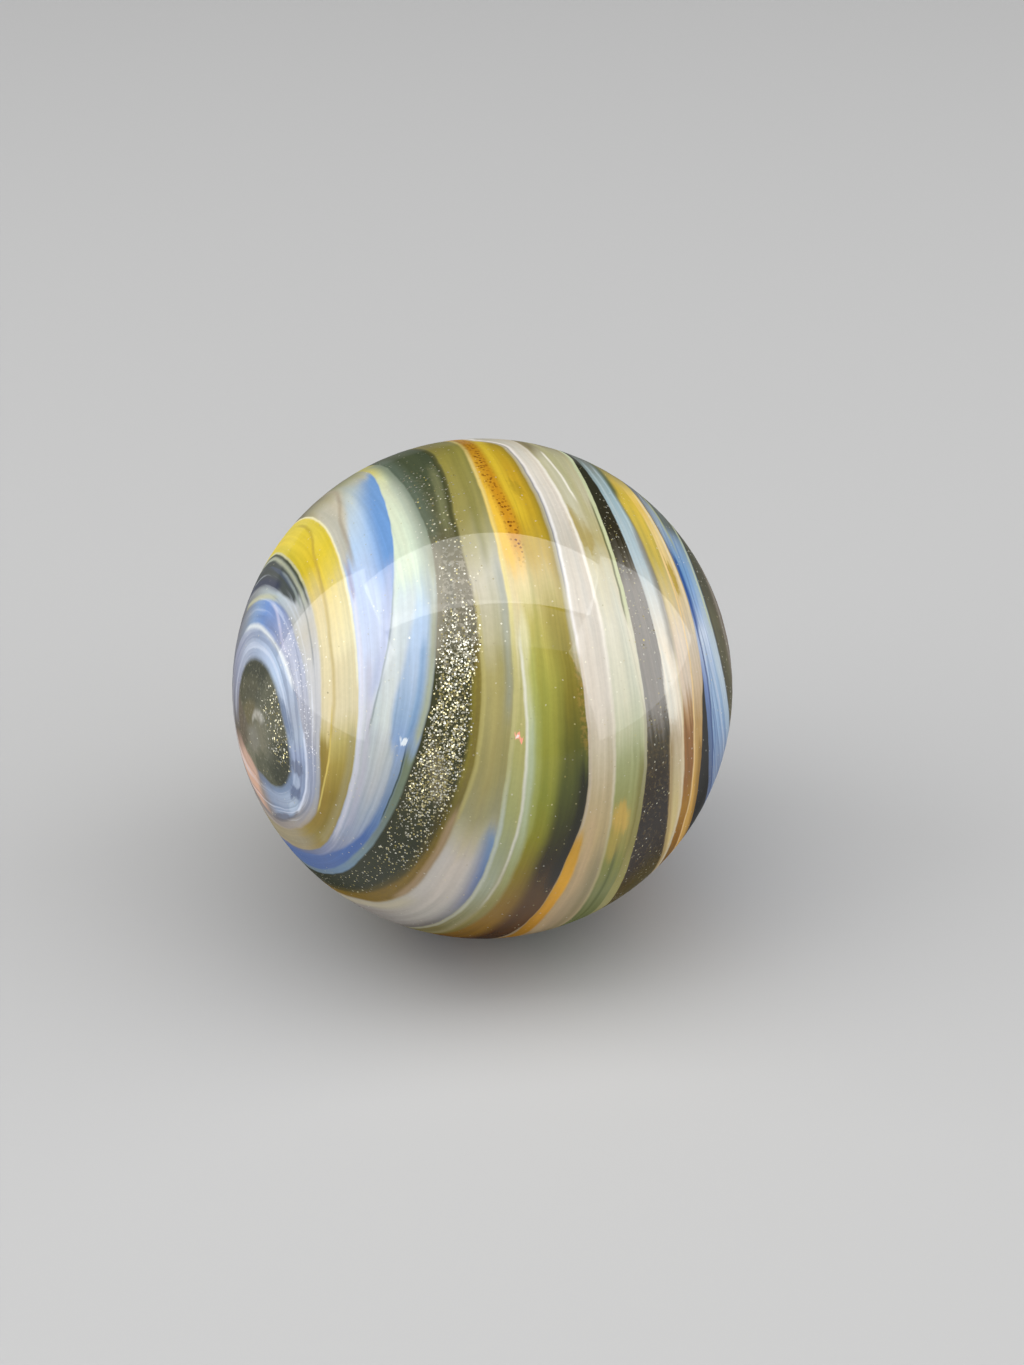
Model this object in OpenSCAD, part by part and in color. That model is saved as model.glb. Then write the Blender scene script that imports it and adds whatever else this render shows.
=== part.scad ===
/* [Ball] */
// Diameter of the finished ball, in millimetres
ball_d = 25; // [12:0.5:60]

/* [Hidden] */

// Colour of the glass as a whole: between its dark green, olive and milky bands
glass_tone = [0.52, 0.54, 0.42];

// Steps round the equator where the ball is drawn as a mesh
ball_steps = 96;

// The whole marble. Rods of coloured glass are melted side by side, twisted while
// they are soft, cased in clear glass and rounded, so the bands and the clear skin
// over them are one fused solid with one true round surface and no seam or hole.
// The origin is the centre of the ball, and it has no side that it must rest on.
module marble() {
    color(glass_tone)
        sphere(d = ball_d, $fn = ball_steps);
}

marble();
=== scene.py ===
import math

import bmesh
import bpy
from mathutils import Matrix, Quaternion, Vector


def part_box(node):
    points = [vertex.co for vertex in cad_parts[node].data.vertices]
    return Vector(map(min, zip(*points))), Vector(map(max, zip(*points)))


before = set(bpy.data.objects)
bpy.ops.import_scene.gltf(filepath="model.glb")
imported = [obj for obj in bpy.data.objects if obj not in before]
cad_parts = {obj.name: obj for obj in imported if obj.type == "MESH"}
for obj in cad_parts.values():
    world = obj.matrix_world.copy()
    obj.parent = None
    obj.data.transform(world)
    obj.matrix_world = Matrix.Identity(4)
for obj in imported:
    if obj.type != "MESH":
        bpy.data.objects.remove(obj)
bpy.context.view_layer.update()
low_corner, high_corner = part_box("marble")
ball_radius = (high_corner.z - low_corner.z) / 2


# --- Camera -------------------------------------------------
# One camera looks down at the ball from the front, ten ball radii away. It aims a little right of
# the ball and above it, so the ball lies left of the picture's middle and below it.

# In pixels of the picture
picture_height = 1365
radius_in_picture = 250.2
aim_right = 29.4
aim_up = 5.8

look_down = math.radians(32)
sensor_height = 36
camera_distance = 10 * ball_radius
focal_pixels = radius_in_picture / math.tan(math.asin(ball_radius / camera_distance))
camera_place = camera_distance * Vector((0, -math.cos(look_down), math.sin(look_down)))
to_ball = -camera_place.normalized()
picture_right = Vector((1, 0, 0))
picture_up = picture_right.cross(to_ball)
aim = to_ball + picture_right * (aim_right / focal_pixels) + picture_up * (aim_up / focal_pixels)

lens = bpy.data.cameras.new("camera")
lens.sensor_fit = "VERTICAL"
lens.sensor_height = sensor_height
lens.lens = sensor_height * focal_pixels / picture_height
lens.clip_start = 0.005
camera = bpy.data.objects.new("camera", lens)
camera.location = camera_place
camera.rotation_mode = "QUATERNION"
camera.rotation_quaternion = aim.to_track_quat("-Z", "Y")
bpy.context.scene.collection.objects.link(camera)
bpy.context.scene.camera = camera


# --- The twist ----------------------------------------------
# The marble is one lump of glass. A bundle of coloured rods is melted together, twisted from its
# two ends and rolled round, so that each rod shows as a band that runs round the twist axis.

melt = bpy.data.materials.new("twisted_glass")
melt.use_nodes = True
melt.node_tree.nodes.clear()


class Wire:
    """One output socket of the glass's nodes. Sums and products of wires add Math nodes."""

    def __init__(self, socket):
        self.socket = socket

    @staticmethod
    def node(kind, settings, values, out=0):
        """Adds a node: its settings first, then the values or links of its sockets. A setting that
        is a function, such as one that draws a curve or a ramp, is handed the node."""
        made = melt.node_tree.nodes.new(kind)
        for name, value in settings.items():
            if callable(value):
                value(made)
            else:
                setattr(made, name, value)
        for key, value in values.items():
            if isinstance(value, Wire):
                melt.node_tree.links.new(value.socket, made.inputs[key])
            else:
                made.inputs[key].default_value = value
        return Wire(made.outputs[out])

    @staticmethod
    def sums(operation, *terms):
        """Adds a Math node that works on wires and numbers."""
        return Wire.node("ShaderNodeMath", {"operation": operation}, dict(enumerate(terms)))

    def __add__(self, other):
        return Wire.sums("ADD", self, other)

    def __sub__(self, other):
        return Wire.sums("SUBTRACT", self, other)

    def __mul__(self, other):
        return Wire.sums("MULTIPLY", self, other)

    def __truediv__(self, other):
        return Wire.sums("DIVIDE", self, other)

    def __radd__(self, other):
        return Wire.sums("ADD", other, self)

    def __rsub__(self, other):
        return Wire.sums("SUBTRACT", other, self)

    def __rmul__(self, other):
        return Wire.sums("MULTIPLY", other, self)

    def __abs__(self):
        return Wire.sums("ABSOLUTE", self)

    def rise(self, low, high):
        """0 below low, 1 above high, with a soft step between."""
        settings = {"interpolation_type": "SMOOTHSTEP", "clamp": False}
        return Wire.node("ShaderNodeMapRange", settings, {0: self, 1: low, 2: high})

    def share(self, low, high, amount=1):
        """0 below low, the amount above high, and straight between."""
        part = Wire.node("ShaderNodeMapRange", {"clamp": False}, {0: self, 1: low, 2: high})
        return Wire.sums("MINIMUM", Wire.sums("MAXIMUM", part, 0), 1) * amount


def vector_sum(operation, first, second, out=0):
    """A sum, a difference or a product of two vectors."""
    return Wire.node("ShaderNodeVectorMath", {"operation": operation}, {0: first, 1: second}, out)


# The left twist end, first as the camera sees it: to the right, up and towards the camera
left_end_seen = Vector((-0.88, -0.18, 0.43))
picture_frame = Matrix((picture_right, picture_up, -to_ball)).transposed()
left_end = (picture_frame @ left_end_seen).normalized()
forward = (-to_ball - left_end * left_end.dot(-to_ball)).normalized()
over_top = left_end.cross(forward)

# Places on the ball are read in degrees: across, from the left twist end, and around, from the
# line that faces forward, up over the top. The jump back to the first degree is low at the back.
first_around = -110
cut_turn = math.radians(first_around + 180)
cut_forward = forward * math.cos(cut_turn) + over_top * math.sin(cut_turn)
cut_over = over_top * math.cos(cut_turn) - forward * math.sin(cut_turn)

place = Wire.node("ShaderNodeTexCoord", {}, {}, "Object")


def along(direction):
    """Cosine of the angle between a place on the ball and a direction."""
    return vector_sum("DOT_PRODUCT", place, tuple(direction / ball_radius), "Value")


def mottle(size, detail=2, roughness=0.5, vector=place):
    """Soft noise between about 0.2 and 0.8, with spots of the given size."""
    values = {"Vector": vector, "Scale": 1 / size, "Detail": detail, "Roughness": roughness}
    return Wire.node("ShaderNodeTexNoise", {"noise_dimensions": "3D"}, values)


to_front = along(forward)
to_top = along(over_top)

# Melting leaves every seam a little wavy, by about a quarter of a degree
wobble = (mottle(2.5e-3) - 0.5) * 0.8 + (mottle(0.6e-3, 1) - 0.5) * 0.2
plain_across = Wire.sums("ARCCOSINE", along(left_end)) * math.degrees(1) + wobble
plain_turn = Wire.sums("ARCTAN2", along(cut_over), along(cut_forward)) / math.tau + 0.5

# The main seams run smoothly. The lines drawn later follow the fine streaks too.
edge_turn = plain_turn


def in_order(places, closed=True):
    """How far round each place is, from 0 to 1, and what lies there, closed to a ring."""
    if closed and first_around in places:
        places = {first_around + 360: places[first_around], **places}
    return [((at - first_around) / 360, there) for at, there in sorted(places.items())]


def seam(places, closed=True):
    """A line round the ball: degrees across at degrees around, with smooth curves between."""

    def draw(made):
        line = made.mapping.curves[0]
        spots = [(turn, degrees / 180) for turn, degrees in in_order(places, closed)]
        line.points[0].location = spots[0]
        line.points[1].location = spots[-1]
        for spot in spots[1:-1]:
            line.points.new(*spot)
        for point in line.points:
            point.handle_type = "AUTO_CLAMPED"
        made.mapping.extend = "HORIZONTAL"
        made.mapping.update()

    return Wire.node("ShaderNodeFloatCurve", {"draw": draw}, {"Value": edge_turn}) * 180


# The main seams, from the left twist end to the right one
cap_rim = seam({
    -110: 8.4, -90: 9.8, -75: 12.4, -60: 14.3, -45: 15.5, -30: 15.7, 0: 15.7, 30: 16.8, 60: 18.1,
    85: 17.4, 100: 15.4, 115: 13.2, 130: 11.3, 150: 9.9, 185: 8.6, 205: 7.4, 225: 7, 240: 7.8})
canary_near = seam({
    -110: 22, -90: 22, -70: 23.3, -50: 24.6, -30: 24.8, -10: 25.4, 0: 26.8, 20: 30.3, 40: 34.5, 60: 38,
    80: 41, 100: 43.8, 125: 43.5, 155: 39, 185: 34, 210: 28.5, 235: 23})
canary_far = seam({
    -110: 27.2, -90: 27.7, -70: 29.2, -50: 30.2, -40: 31, -30: 32, -20: 33.5, -10: 34.8, 0: 36.7,
    20: 40.6, 40: 44.7, 60: 49, 75: 51.5, 90: 53.2, 115: 53.7, 140: 50.5, 170: 45, 200: 38, 225: 32,
    240: 28.3})
glitter_near = seam({
    -110: 35, -90: 35.2, -70: 36.9, -60: 37.8, -50: 39.5, -40: 41.4, -30: 43.7, -20: 46.4, -10: 49.8,
    0: 53.2, 10: 56.4, 20: 59.6, 30: 62.8, 40: 65.2, 50: 66.9, 60: 68.5, 70: 70, 80: 71.8, 100: 73.2,
    120: 70.5, 150: 61, 180: 50.5, 205: 42, 230: 36.4})
olive_near = seam({
    -110: 43, -90: 44.5, -80: 47.4, -70: 49.4, -60: 51, -50: 52.7, -38: 55.2, -30: 57.1, -20: 60,
    -10: 62.3, 0: 64.3, 20: 68, 43: 72.3, 52: 75.5, 60: 77.8, 75: 81.3, 95: 82, 120: 78, 150: 69,
    180: 59, 205: 50.5, 230: 44.5})
cream_line = seam({
    -110: 59.5, -90: 59.5, -80: 60.2, -60: 62.8, -40: 64.9, -30: 65.8, -20: 67.2, -10: 69, 0: 71,
    20: 75, 40: 79.3, 50: 81.8, 60: 84.5, 70: 87.6, 85: 89.5, 105: 89.5, 130: 85.5, 155: 79.5,
    180: 74.5, 205: 69, 230: 62})
milk_near = seam({
    -110: 77.5, -90: 78, -70: 78.8, -60: 79.7, -50: 80.6, -40: 82.3, -35: 83.5, -30: 84.4, -20: 85,
    0: 85.8, 10: 86.6, 20: 88.4, 30: 90.4, 50: 93.9, 60: 95.8, 66: 96.9, 70: 95.9, 75: 93.6, 85: 94,
    110: 97.5, 140: 97, 170: 92.5, 200: 88, 225: 81})
milk_far = seam({
    -110: 92, -90: 91.5, -58: 90.8, -40: 90.7, -20: 91.2, 0: 92.3, 10: 93.2, 30: 95.6, 50: 98.4,
    66: 101.2, 85: 103.8, 115: 106.2, 150: 106, 185: 104, 220: 97.5})
peat_near = seam({
    -110: 106, -90: 103.5, -70: 100.8, -55: 99.3, -45: 98.8, -35: 99, -20: 99.8, 0: 100.3, 10: 100.9,
    23: 102.5, 33: 104.2, 44: 106.5, 55: 109.4, 61: 111.4, 75: 114, 95: 117, 130: 120, 165: 120,
    200: 117.5, 230: 110.5})
peat_far = seam({
    -110: 119, -90: 116.5, -75: 114, -60: 112, -47: 109.3, -37: 107.7, -20: 106.7, 0: 106.9, 20: 107.2,
    30: 108, 50: 110.5, 60: 112.4, 75: 115, 95: 118, 130: 123, 165: 125.5, 200: 125, 230: 121.5})
rust_near = seam({
    -110: 121, -90: 118, -70: 115, -55: 113.3, -42: 112.5, -28: 111.5, -20: 111.2, 10: 112, 22: 112.4,
    30: 112.8, 40: 113.5, 50: 115.5, 65: 118.5, 90: 122, 130: 127, 170: 129, 205: 128.5, 230: 125})
ink_near = seam({
    -110: 132, -90: 128.5, -65: 123.5, -50: 120.7, -43: 119.6, -30: 118.7, -16: 119.2, -8: 120.6,
    10: 121.6, 30: 122.4, 40: 123.1, 55: 125, 80: 130, 120: 135, 160: 137.5, 200: 138, 230: 136})
ink_far = seam({
    -110: 141, -90: 137.5, -65: 132, -50: 127.8, -43: 125.7, -36: 123.6, -28: 122.1, -20: 121.2,
    -8: 120.7, 10: 121.7, 40: 123.3, 55: 125.3, 80: 130.5, 120: 135.8, 160: 138.5, 200: 141,
    230: 142.5})
navy_line = seam({
    -110: 146, -90: 141, -65: 134, -43: 128, -38: 126.3, -25: 124, -10: 122.8, 5: 122.3, 20: 122.8,
    30: 123.3, 45: 125.2, 65: 129, 90: 135, 120: 142, 160: 148, 200: 150, 230: 149})

# The right twist end lies off the axis, and its cap is a ring of its own
right_across = math.radians(157.7)
right_around = math.radians(9)
right_end = (left_end * math.cos(right_across) + forward * math.sin(right_across)
             * math.cos(right_around) + over_top * math.sin(right_across) * math.sin(right_around))
from_right = Wire.sums("ARCCOSINE", along(right_end)) * math.degrees(1) + wobble

# Flow: how many degrees across a place would be if its band were followed round to the front
rim_in_front = 15.5
seams_in_front = [
    (cap_rim, rim_in_front), (canary_near, 26.7), (canary_far, 36.5), (glitter_near, 53.2),
    (olive_near, 64.3), (cream_line, 71), (milk_near, 85.8), (milk_far, 92.3), (peat_near, 100.3),
    (peat_far, 106.4), (rust_near, 112), (ink_near, 119.8), (navy_line, 121.8)]
flow = plain_across.share(0, cap_rim, rim_in_front)
for (near, start), (far, end) in zip(seams_in_front, seams_in_front[1:]):
    flow = flow + plain_across.share(near, far, end - start)
end_flow = 60
flow = flow + from_right.share(end_flow, 0, end_flow)


def drawn_out(fineness, length, detail=2):
    """Mottle stretched along the bands, as twisting draws glass out."""
    combined = {0: flow * fineness, 1: to_front * length, 2: to_top * length}
    return mottle(1, detail, 0.5, Wire.node("ShaderNodeCombineXYZ", {}, combined))


fine_streaks = drawn_out(1.1, 1.6, 3)
broad_streaks = drawn_out(0.28, 1.1)
blotches = mottle(1.8e-3, 3)
specks = mottle(0.2e-3, 2, 0.6)

# All that follows is laid along the streaks, so its edges and ends look drawn out as well
across = plain_across + (fine_streaks - 0.5) * 0.3
edge_turn = plain_turn + (fine_streaks - 0.5) * 0.001
turned = plain_turn + (fine_streaks - 0.5) * 0.02 + (broad_streaks - 0.5) * 0.03
around = turned * 360 + first_around


# From about 60 degrees around, towards the ball's top edge in the picture, many of the glasses below
# are made darker: painted shade.
# --- Left twist end: moss cap -------------------------------
# A rod of moss green glass with gold flecks. It was nipped off and melted flat, and is the round
# eye that the other rods wind round.

moss = (110, 108, 88)
moss_shade = (76, 78, 56)
moss_dark = (36, 42, 18)
moss_smoke = (126, 123, 110)
wood_smoke = (96, 86, 68)
cap_highlight_grey = (172, 170, 160)


def tint(colour):
    """A glass's colour for a node. It is given as it looks by plain light, from 0 to 255."""
    levels = [v / 255 for v in colour]
    return tuple(v / 12.92 if v <= 0.04045 else ((v + 0.055) / 1.055) ** 2.4 for v in levels) + (1,)


def pour(under, over, mask):
    """Lays one glass over another where the mask is 1."""
    under, over = (g if isinstance(g, Wire) else tint(g) for g in (under, over))
    return Wire.node("ShaderNodeMix", {"data_type": "RGBA"}, {0: mask, 6: under, 7: over}, 2)


def lay(over, mask):
    """Melts one more glass onto the marble's skin where the mask is 1."""
    global skin
    skin = pour(skin, over, mask)


def reach(start, end, fade=8):
    """1 between two places around, fading to 0 outside them."""
    return around.rise(start - fade, start) * around.rise(end + fade, end)


def thread(line, width, soft=0.3):
    """1 on a thin line of the given width, in degrees, and 0 beside it."""
    return abs(across - line).rise(width / 2 + soft, max(width / 2 - soft, 0))


# Smoky in its middle, darker towards its rim, and brown at the back
skin = pour(moss, moss_shade, blotches.rise(0.42, 0.62) * 0.6)
lay(moss_smoke, across.rise(5, 2) * 0.8)
lay(moss_shade, across.rise(5, 12) * 0.7)
lay(moss_shade, reach(-104, -52, 14) * across.rise(2.5, 6) * 0.8)
lay(moss_dark, reach(-56, -18, 16) * across.rise(6, 12) * 0.9)
lay(wood_smoke, reach(125, 185, 15) * across.rise(2, 6))
lay((98, 90, 56), reach(66, 112, 12) * across.rise(2.5, 4.5) * 0.8)
lay((62, 64, 46), reach(56, 112, 14) * across.rise(7.5, 9.5) * 0.7)
lay(moss_dark, reach(56, 112, 12) * across.rise(12, 15.5) * 0.7)
lay((150, 146, 128), specks.rise(0.54, 0.76) * 0.4)
lay(moss_dark, specks.rise(0.42, 0.26) * across.rise(4, 9) * 0.4)

# A painted highlight: a pale, pearly smear on its upper side
highlight_streak = seam({16: 7.6, 36: 7.4, 48: 6.8, 62: 5.4, 76: 4})
highlight_patch = thread(highlight_streak, 1.8, 1) * reach(30, 62, 14)
lay(cap_highlight_grey, highlight_patch * (0.4 + 0.9 * specks))


# --- Blue and lilac gather ----------------------------------
# Thin blue, lilac and white rods that wind tightly round the cap, with fine glitter in the grey.
# A dark rod of coal-coloured glass is melted in over the top, against the canary band.

sky = (180, 199, 224)
periwinkle = (150, 164, 194)
lilac = (160, 166, 190)
mauve_grey = (156, 158, 170)
cornflower = (108, 142, 198)
slate = (104, 112, 126)
pale_pearl = (182, 184, 190)
cream = (226, 222, 190)
peach = (206, 168, 146)
warm_grey = (142, 134, 130)
coal_blue = (62, 66, 84)


def rods(places):
    """Glass that changes along its band: a glass at each of a few places around."""

    def melt_in(made):
        ramp = made.color_ramp
        spots = in_order(places)
        ramp.elements[0].position = spots[0][0]
        ramp.elements[0].color = tint(spots[0][1])
        ramp.elements[1].position = spots[-1][0]
        ramp.elements[1].color = tint(spots[-1][1])
        for turn, colour in spots[1:-1]:
            ramp.elements.new(turn).color = tint(colour)

    return Wire.node("ShaderNodeValToRGB", {"melt_in": melt_in}, {0: turned})


def past(line, soft=0.5):
    """0 left of a line and 1 right of it, with an edge that many degrees wide."""
    return (across - line).rise(-soft / 2, soft / 2)


def blot(middle_around, middle_across, half_around, half_across, soft=0.5):
    """A small soft patch with an uneven outline. Its half sizes are in degrees too."""
    far_around = (around - middle_around) / half_around
    far_across = (across - middle_across) / half_across
    uneven = specks - 0.5
    return (far_around * far_around + far_across * far_across + uneven).rise(1 + soft, 1 - soft)


sky_ring = rods({
    -110: warm_grey, -92: (136, 152, 178), -72: (150, 166, 192), -60: (158, 176, 202),
    -46: (138, 154, 186), -30: (130, 144, 172), -18: periwinkle, -6: (168, 182, 202),
    8: (162, 172, 190), 26: (174, 188, 210), 42: sky, 58: (174, 190, 216), 74: (158, 172, 196),
    92: (164, 172, 190), 115: (148, 150, 168), 140: (128, 126, 134), 165: wood_smoke, 195: peach,
    238: peach})
lay(sky_ring, past(cap_rim, 2))

# Darker and paler spots where the rods of the ring cross
lay((96, 114, 144), blot(8, 16.8, 18, 1.1, 0.8) * 0.75)
lay((112, 132, 162), reach(-78, -44) * thread(cap_rim + 0.6, 1.8, 0.8) * 0.7)
lay((94, 110, 142), blot(-50, 18, 9, 1.6) * 0.9)
lay((104, 114, 138), blot(-28, 17.8, 5, 2) * 0.8)
lay((178, 196, 218), blot(-62, 18.6, 10, 1.1) * 0.7)
lay((166, 182, 208), blot(-39, 17.6, 6, 1.2) * 0.8)
lay((94, 90, 96), blot(-92, 19.2, 14, 1.3) * 0.6)
lay((104, 116, 138), reach(-110, -84) * thread(cap_rim + 0.8, 2, 0.8) * 0.7)

sky_far = seam({
    -110: 19.6, -90: 19.8, -60: 20.3, -30: 20.9, 0: 21.3, 30: 22.2, 45: 22.9, 60: 23.5, 76: 24.6,
    90: 25, 120: 23.4, 160: 19, 200: 17.5, 230: 18.6})
lilac_far = seam({
    -110: 21.5, -60: 22.7, -30: 23.6, 0: 24.2, 15: 25.4, 30: 27, 45: 28.6, 60: 30.5, 90: 31, 120: 29,
    160: 25, 200: 22, 230: 21})
lilac_ring = rods({
    -110: warm_grey, -78: (156, 150, 144), -60: (148, 148, 154), -42: (148, 156, 178),
    -20: (148, 156, 178), -8: mauve_grey, 8: (168, 170, 182), 26: (168, 173, 192), 50: lilac,
    58: (150, 162, 196), 66: (128, 148, 192), 76: cornflower, 88: (130, 156, 192), 100: (134, 142, 154),
    115: (118, 120, 128), 140: slate, 180: warm_grey})
lay(lilac_ring, past(sky_far, 0.4))

# Hairlines between the sky and the lilac rings, and one in the lilac
lay((214, 222, 240), thread(sky_far, 0.5, 0.35) * reach(-62, -8) * 0.9)
lay((222, 226, 226), thread(sky_far, 0.9, 0.6) * reach(30, 92, 12) * 0.9)
lay((104, 102, 106), thread(sky_far, 0.6, 0.4) * reach(-108, -66, 6) * 0.7)
lilac_streak = seam({20: 26, 45: 24.6, 60: 27.5, 68: 29.5, 80: 31})
lay((196, 196, 220), thread(lilac_streak, 0.8, 0.5) * reach(46, 68) * 0.8)

pearl_ring = rods({
    -110: (168, 158, 148), -85: (172, 162, 150), -70: (162, 152, 138), -35: (156, 162, 172),
    -5: pale_pearl, 26: (186, 186, 186), 40: (184, 178, 164), 60: (186, 192, 196), 70: (184, 194, 198),
    82: (170, 178, 178), 100: (132, 134, 134), 115: (96, 98, 104), 170: warm_grey})
lay(pearl_ring, past(lilac_far, 0.8))

# The coal-coloured rod, and buff and grey lines between it and the canary band
coal_line = seam({40: 32, 55: 33.4, 66: 33.2, 75: 33.6, 95: 35, 120: 36, 150: 33})
buff_line = 31.6
coal_glass = (58, 62, 56)
lay(coal_glass, past(coal_line - 0.2, 1) * reach(58, 140, 5) * 0.92)
lay(coal_blue, thread(coal_line + 0.6, 2.2, 1) * reach(76, 140, 6) * 0.9)
lay((196, 194, 156), thread(buff_line, 1.1, 0.5) * reach(72, 104, 6) * 0.7)
lay((150, 158, 152), thread(canary_near - 3.1, 0.5, 0.4) * reach(54, 72, 6) * 0.9)
lay((174, 176, 150), thread(canary_near - 1.6, 1, 0.5) * reach(54, 120) * 0.9)
lay((120, 124, 118), thread(canary_near - 2.2, 0.4) * reach(30, 56) * 0.6)

# White and blue hairlines all through the gather
gather = past(cap_rim + 0.5, 1) * (1 - past(canary_near - 1, 2))
lay((214, 220, 232), fine_streaks.rise(0.56, 0.7) * gather * 0.4)
lay((96, 110, 144), fine_streaks.rise(0.46, 0.34) * gather * 0.3)


# --- Canary band --------------------------------------------
# One thick rod of yellow glass, clear canary over the top of the ball and ochre underneath. Over
# the top it is folded on itself, and an ochre line shows where.

canary = (216, 195, 66)
painted_reflection_straw = (208, 195, 152)
ochre = (164, 144, 62)
mustard = (138, 116, 30)
khaki = (160, 148, 118)

# From the front to about 46 degrees around the band is pale straw: a painted reflection over its yellow
# glass.
canary_rod_with_reflection = rods({
    -110: khaki, -86: khaki, -68: (146, 126, 50), -58: mustard, -36: mustard, -20: ochre,
    -10: (184, 168, 96), 2: painted_reflection_straw, 34: (211, 197, 150), 46: (208, 190, 136), 54: (212, 190, 104),
    62: (206, 180, 48), 84: canary, 110: canary, 150: ochre, 200: mustard, 235: khaki})
lay(canary_rod_with_reflection, past(canary_near, 0.9))

canary_thread = seam({
    -60: 24.6, -50: 24.9, -40: 25.2, -30: 25.9, -20: 27.1, -10: 28.3, 0: 29.8, 10: 31.4})
near_edge = past(canary_near, 0.8) * (1 - past(canary_thread, 0.3)) * reach(-42, -12)
lay((136, 114, 32), near_edge * 0.8)
lay((204, 184, 96), thread(canary_thread, 0.3, 0.25) * reach(-44, 2))

ochre_fold = seam({
    -6: 29.5, 0: 30.5, 10: 32.5, 20: 34.3, 30: 36.2, 40: 38.5, 50: 40.7, 57: 42.5, 65: 44.5, 70: 46.5,
    78: 49, 95: 51.5})
# The fold is pale cream from about 20 to 42 degrees around: a painted reflection. Further round it is
# canary.
folded_with_reflection = rods({
    20: (226, 216, 172), 42: (220, 204, 140), 53: (214, 194, 78), 62: (216, 194, 60),
    80: (216, 198, 84), 110: canary})
lay(folded_with_reflection, past(ochre_fold) * reach(26, 110) * 0.8)
lay((172, 150, 66), thread(ochre_fold - 0.35, 0.5, 0.6) * reach(-2, 84) * 0.6)

# Fine lines along the band's two sides
lay((160, 150, 104), thread(canary_far - 1, 1.8, 0.9) * reach(-64, -10) * 0.7)
lay(cream, thread(canary_far - 0.25, 0.6, 0.35) * reach(14, 110) * 0.9)
lay((74, 78, 56), thread(canary_near - 0.7, 0.5, 0.4) * reach(52, 96) * 0.8)
lay((214, 208, 160), thread(canary_near - 0.1, 0.5) * reach(60, 104) * 0.9)


# --- Milk-blue ribbon ---------------------------------------
# White, lilac, mint and light blue rods side by side, closed by a streak of cobalt glass
# underneath and a wide blue one over the top, then a pale mint and lemon rod.

mauve = (176, 172, 190)
grey_mint = (184, 190, 190)
dusk = (146, 154, 176)
ice = (176, 200, 227)
azure = (98, 142, 196)
cobalt = (72, 106, 168)
cobalt_soft = (84, 110, 164)
lemon_mint = (208, 220, 196)
lemon = (186, 188, 138)
beige = (190, 184, 164)
fawn = (158, 146, 126)

ribbon = rods({
    -110: (106, 112, 144), -84: (108, 118, 148), -70: (128, 138, 170), -58: dusk, -48: (152, 164, 186),
    -38: (162, 173, 187), -28: (178, 183, 189), -14: grey_mint, -2: (196, 202, 206),
    14: (190, 200, 222), 36: (186, 202, 232), 52: ice, 62: (182, 200, 216), 72: (186, 194, 190),
    80: (172, 172, 154), 86: (146, 146, 112), 94: (112, 110, 88), 130: (140, 136, 116), 170: dusk,
    215: dusk})
lay(ribbon, past(canary_far))

# Lilac threads on its left side, and beige glass with a fawn thread over the top
lilac_thread = thread(canary_far + 0.8, 1, 0.5) * reach(-50, 34, 14)
lay((208, 208, 222), lilac_thread * 0.7)
lay(mauve, thread(canary_far + 2.6, 1.5, 0.9) * reach(-44, 12) * 0.5)
lay((148, 144, 172), thread(canary_far + 0.9, 0.9, 0.5) * reach(39, 56, 4) * 0.8)
beige_rod = rods({
    40: beige, 78: beige, 86: (158, 152, 122), 96: (112, 108, 88), 120: (126, 122, 100), 150: beige})
beige_edge = seam({40: 46, 48: 48, 55: 50.8, 65: 54.6, 75: 58.6, 85: 62, 110: 63.5, 140: 58})
lay(beige_rod, past(canary_far) * (1 - past(beige_edge, 2)) * reach(52, 140) * 0.9)
brown_thread = seam({45: 48, 55: 50.6, 65: 53, 75: 57.5, 85: 61, 110: 62})
lay(fawn, thread(brown_thread, 0.9, 0.6) * reach(50, 96) * 0.6)

# The cobalt streak underneath, with a greenish shade between it and the glitter rod
low_side = around.rise(-4, -12) + around.rise(165, 200)
blue_near = seam({
    -110: 28, -90: 28.6, -80: 30, -70: 31.4, -60: 33.4, -50: 35.8, -40: 38, -30: 40, -20: 42.2,
    -10: 44.5, 0: 47, 150: 52, 180: 45, 205: 37.5, 230: 31})
blue_far = seam({
    -110: 33.4, -90: 33.7, -80: 34.2, -70: 35, -60: 36.1, -50: 37.9, -40: 40, -30: 41.9, -20: 44.5,
    -15: 45.8, -9: 47.4, 0: 51, 150: 57, 180: 48.5, 205: 40, 230: 34.6})
cobalt_rod = rods({
    -110: cobalt_soft, -80: cobalt_soft, -64: cobalt, -50: cobalt, -38: (100, 130, 174),
    -26: (126, 146, 172), -8: (150, 170, 198), 200: cobalt_soft})
green_shade = rods({
    -110: (110, 126, 136), -72: (108, 136, 164), -58: (116, 140, 150), -44: (112, 128, 128),
    -30: (108, 122, 104), -18: (110, 122, 96), -8: (148, 158, 140), 8: (150, 152, 120),
    200: (116, 140, 150)})
lay(cobalt_rod, past(blue_near, 1.2) * low_side)
lay(green_shade, past(blue_far, 0.9) * low_side)
lay((40, 60, 44), thread(blue_far - 0.15, 0.3, 0.2) * reach(-34, -9, 5) * 0.9)

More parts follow.
